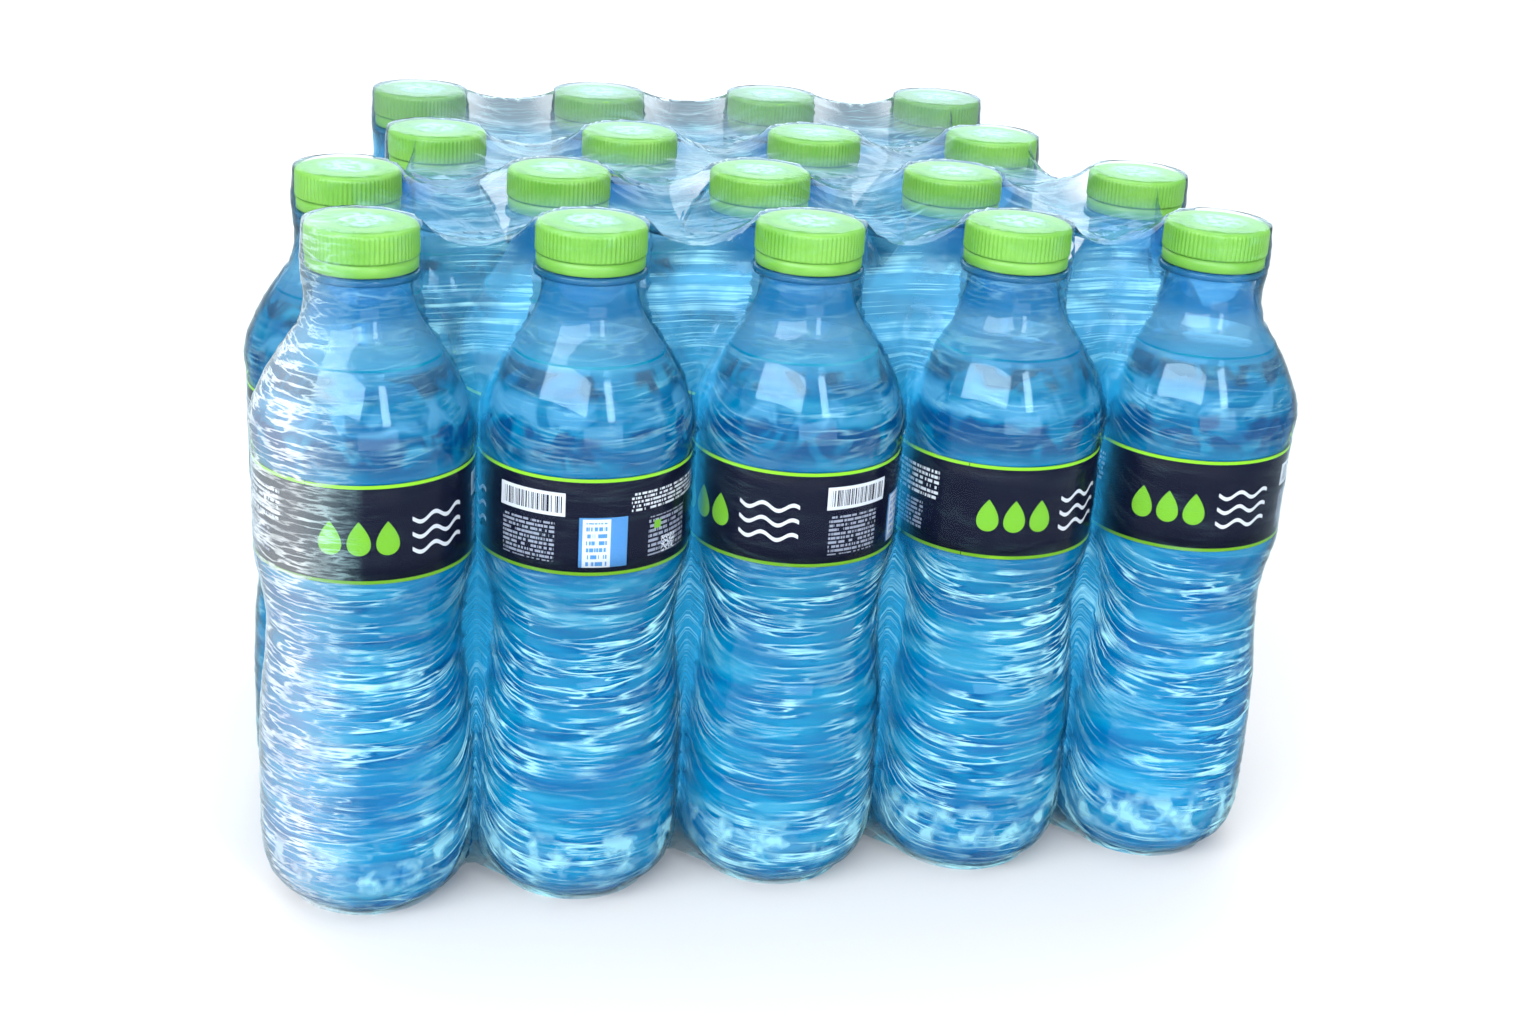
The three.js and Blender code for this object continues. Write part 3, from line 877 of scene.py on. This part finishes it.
def painted_streaks(length, width, thin, beside):
    """Thin painted highlights in lines along the stretch of the film, and the painted dark line beside
    each.
    """
    turned = node_of(film_tree, "ShaderNodeMapping", Vector=stretched,
                     Scale=(1 / (length * mm), 1 / (width * mm), 1))
    noise = node_of(film_tree, "ShaderNodeTexNoise", Vector=turned.outputs[0], Scale=1.0, Detail=3.0)
    painted_lines = []
    for level in (0.5, 0.5 - beside):
        off = calculate(film_tree, "SUBTRACT", noise.outputs["Fac"], level)
        painted_lines.append(ramped(calculate(film_tree, "ABSOLUTE", off), 0.0, thin, 1.0, 0.0))
    return painted_lines


def patches(size, low, high):
    """Soft blotches from 0 to 1, by their size in millimetres."""
    noise = node_of(film_tree, "ShaderNodeTexNoise", Vector=place, Scale=1 / (size * mm), Detail=2.0)
    return ramped(noise.outputs["Fac"], low, high)


on_cap = marked("on_cap")
off_cap = calculate(film_tree, "SUBTRACT", 1.0, on_cap)
in_groove = marked("in_groove")
groove_bottom = calculate(film_tree, "POWER", in_groove, 4.0)
wisps = patches(9, 0.36, 0.58)
patchy = patches(30, 0.38, 0.6)
neck_web = times(times(groove_bottom, ramped(above_floor, 0.155, 0.178)), off_cap)

# The light that the film's creases catch is painted in bright lines along its stretch, each with a
# painted dark line beside it. They are strong below the label, faint over it and few on the
# shoulders, and run together and fade in the bottom of each groove.
line_strength = graded(film_tree, ramped(above_floor, 0.0, 0.2), (0, 1), (0.52, 1.0), (0.56, 0.03),
                       (0.69, 0.03), (0.73, 0.35), (0.84, 0.15), (0.93, 0.15), (0.96, 0.35), (1, 0.35))
line_strength = times(line_strength, ramped(patchy, 0, 1, 0.15, 0.7))
line_strength = times(line_strength, ramped(on_cap, 0, 1, 1.0, 0.2))
line_strength = times(line_strength, ramped(wisps, 0, 1, 0.3, 1.25))
line_strength = times(line_strength, ramped(groove_bottom, 0, 1, 1.0, 0.5))
line_strength = most(line_strength, times(neck_web, ramped(wisps, 0, 1, 0.1, 0.5)))
broad, broad_dark = painted_streaks(80, 8, 0.025, 0.04)
fine, fine_dark = painted_streaks(36, 3.2, 0.03, 0.05)
painted_lines = times(most(broad, times(fine, 0.7)), line_strength)
painted_dark_lines = times(most(broad_dark, fine_dark), line_strength)

# Between the necks and on the roof the film is milky, more so towards the back, where it lies in
# several creased layers. It is clearer on the closures. At the top of the back wall the gathered
# folds are dense enough to hide what is behind them.
up_on_roof = ramped(above_floor, 0.188, 0.198)
backwards = ramped(from_front, -0.08, 0.085)
open_veil = times(ramped(backwards, 0, 1, 0.62, 0.92), off_cap)
cap_veil = times(ramped(backwards, 0.55, 1, 0.0, 0.36), on_cap)
roof_veil = times(calculate(film_tree, "ADD", open_veil, cap_veil),
                  times(up_on_roof, ramped(patchy, 0, 1, 0.9, 1.05)))
top_back = times(ramped(from_front, 0.08, 0.088), ramped(above_floor, 0.165, 0.185, 0.0, 0.85))
roof_veil = most(roof_veil, times(top_back, off_cap))
haze = most(roof_veil, times(neck_web, ramped(patchy, 0, 1, 0.25, 0.7)))

# Painted highlights: whitish painted streaks at the left front corner of the film, a broken band of
# painted light just over the feet, and painted glints on the film crumpled over the middle of each
# closure.
left_front = times(ramped(from_left, -0.128, -0.146), ramped(from_front, -0.06, -0.085))
hatch, _ = painted_streaks(16, 2.4, 0.06, 0.1)
painted_left_front_highlights = times(left_front, ramped(times(hatch, ramped(wisps, 0, 1, 0.4, 1)), 0, 1, 0.16, 0.7))
painted_light_over_foot = times(ramped(above_floor, 0.010, 0.015), ramped(above_floor, 0.030, 0.023))
painted_light_over_foot = times(times(painted_light_over_foot, patches(7, 0.46, 0.62)), ramped(in_groove, 0.2, 0.7, 0.45, 0.0))
painted_cap_glints = times(times(marked("cap_middle"), ramped(patches(2.5, 0.42, 0.6), 0, 1, 0.1, 0.6)),
                   ramped(above_floor, 0.2040, 0.2045))
painted_light_share = most(painted_lines, most(most(painted_left_front_highlights, painted_light_over_foot), painted_cap_glints))

# In the grooves the film is painted a bright blue: painted light that stands for the blue of the
# bottles on both sides and lifts the shade in the groove.
painted_groove_light_share = times(calculate(film_tree, "POWER", in_groove, 2.0), times(
    ramped(above_floor, 0.15, 0.176, 0.42, 0.0), ramped(above_floor, 0.004, 0.024)))

# The painted dark lines tint the clear film deep blue: painted shade beside each painted highlight.
through = node_of(film_tree, "ShaderNodeBsdfTransparent", Color=blend(
    film_tree, painted_dark_lines, (0.95, 0.98, 1.0, 1), (0.06, 0.34, 0.62, 1)))
painted_groove_light = node_of(film_tree, "ShaderNodeBsdfDiffuse", Color=(0.03, 0.46, 0.85, 1))
# The milk's colour is painted light and shade: the blue of the bottles behind it between the necks, and
# a dark blue painted shade on the roof that turns greyer towards the back.
painted_haze = node_of(film_tree, "ShaderNodeBsdfDiffuse", Color=graded(
    film_tree, times(up_on_roof, ramped(backwards, 0, 1, 0.5, 1.0)),
    (0, (0.09, 0.37, 0.62)), (0.5, (0.05, 0.20, 0.32)), (1, (0.14, 0.19, 0.23))))
# The painted highlights are cyan white, and whiter at the left front corner.
painted_light = node_of(film_tree, "ShaderNodeBsdfDiffuse", Color=blend(
    film_tree, left_front, (0.46, 0.92, 1.0, 1), (0.86, 0.93, 0.96, 1)))
shine = node_of(film_tree, "ShaderNodeBsdfGlossy", Color=(0.7, 0.9, 1.0, 1), Roughness=0.12)
rim_light = node_of(film_tree, "ShaderNodeFresnel", IOR=1.18)
surface = through.outputs[0]
for share, layer in ((painted_groove_light_share, painted_groove_light), (haze, painted_haze), (painted_light_share, painted_light),
                     (rim_light.outputs[0], shine)):
    surface = node_of(film_tree, "ShaderNodeMixShader", s0=share, s1=surface,
                      s2=layer.outputs[0]).outputs[0]
finish_material(film_tree, surface)
add_piece("film_sleeve", film_mesh, clear_film, "film").visible_shadow = False

# The floor of the film: the two ends of the sheet lap under the bottles and are welded there by
# the heat, so it lies flat between the case and the ground.
lap_rise = 0.0002
foot_line = [Vector((x, y)) for x, y in zip(wall_x[0], wall_y[0])]
lap_places, _, lap_faces, _, _, _ = delaunay_2d_cdt(foot_line, edge_loop, [], 1, 1e-7)
lap_mesh = bpy.data.meshes.new("film_lap")
lap_mesh.from_pydata([(point.x, point.y, lap_rise) for point in lap_places], [], lap_faces)
add_piece("film_lap", lap_mesh, clear_film, "film_floor").visible_shadow = False
